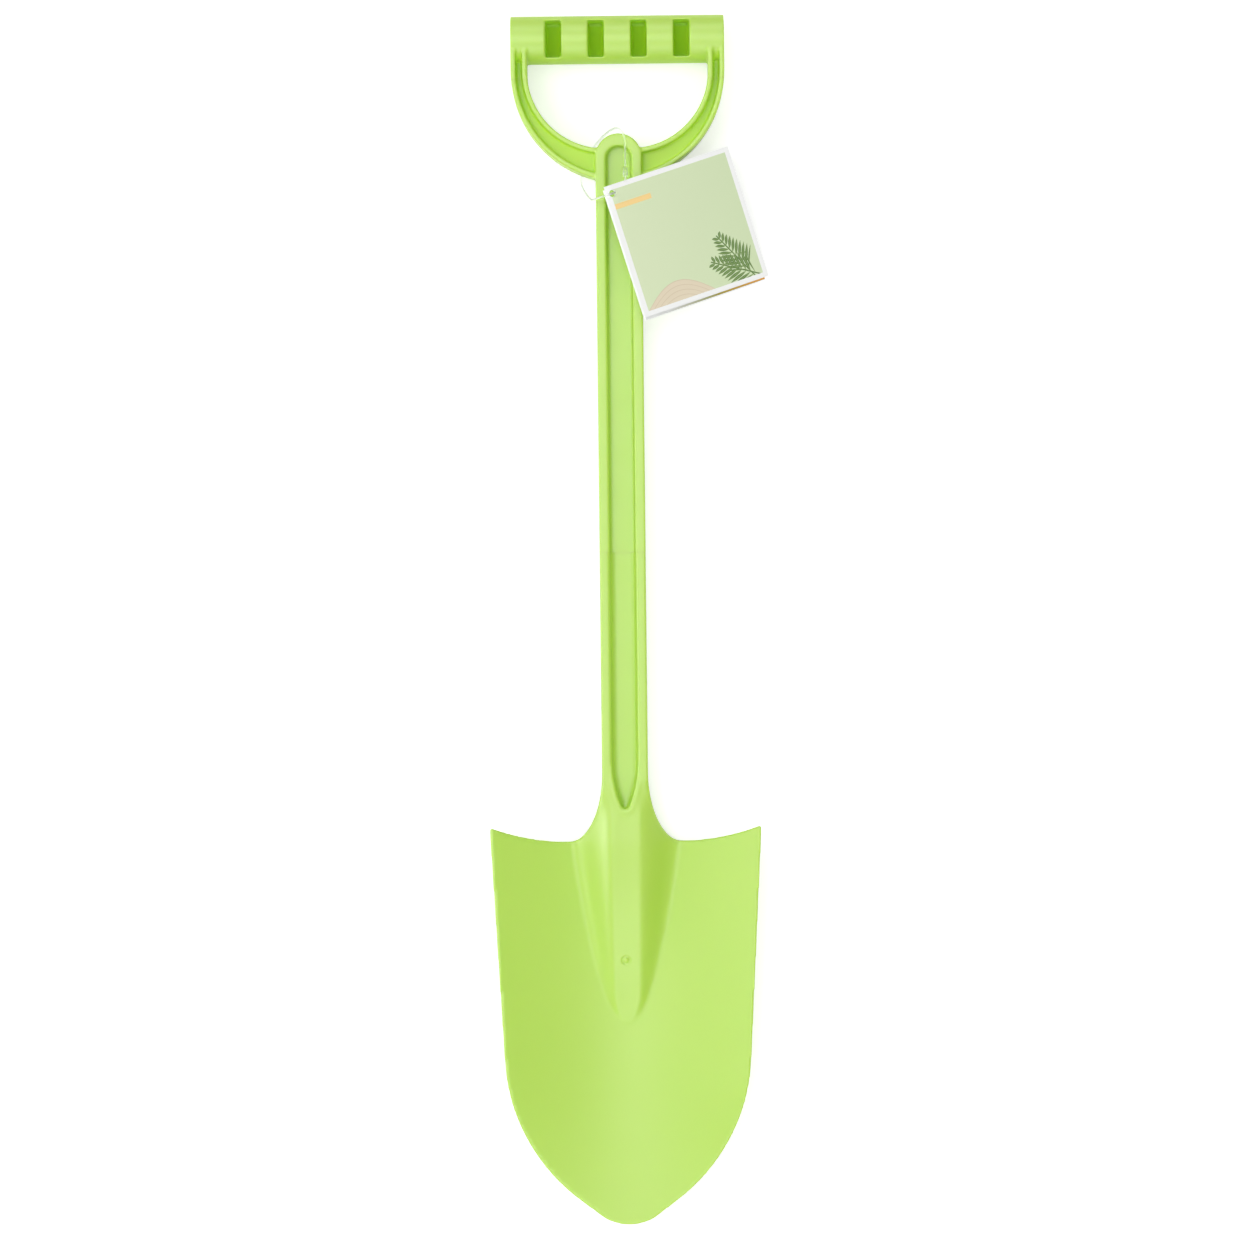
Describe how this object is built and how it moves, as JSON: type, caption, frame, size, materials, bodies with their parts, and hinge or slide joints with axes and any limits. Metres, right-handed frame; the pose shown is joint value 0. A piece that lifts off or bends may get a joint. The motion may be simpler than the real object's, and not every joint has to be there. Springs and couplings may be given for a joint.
{
  "type": "sand shovel",
  "caption": "Children's one-piece plastic beach spade with a dished pointed blade, ribbed shaft and D grip, with a folded card tag on a clear loop.",
  "frame": {"origin": "on the surface that the shovel lies on, under the middle of its length and width, leaving out the tag", "axes": "+X across the blade to the viewer's right, +Y along the shaft to the grip, +Z out of the front, away from the surface"},
  "size_m": [0.1365, 0.58, 0.0373],
  "materials": {
    "moulding": "satin",
    "clear_plastic": "clear",
    "card": "coated card"
  },
  "bodies": {
    "shovel": {"blade": "moulding", "socket": "moulding", "shaft": "moulding", "left_arm": "moulding", "right_arm": "moulding", "grip": "moulding", "tag_loop": "clear_plastic", "loop_lock": "clear_plastic"},
    "hang_tag": {"tag_back_leaf": "card"},
    "front_leaf": {"tag_front_leaf": "card"}
  },
  "joints": [
    {"name": "tag_swing", "type": "hinge", "parent": "shovel", "child": "hang_tag", "pos_m": [-0.0035, 0.2033, 0.02997], "axis": [0.3584, 0, 0.9336], "range_deg": [-45, 0]},
    {"name": "leaf_fold", "type": "hinge", "parent": "hang_tag", "child": "front_leaf", "pos_m": [-0.00606, 0.20228, 0.03176], "axis": [0.2962, -0.9483, -0.1137], "range_deg": [-4.5, 24]}
  ]
}
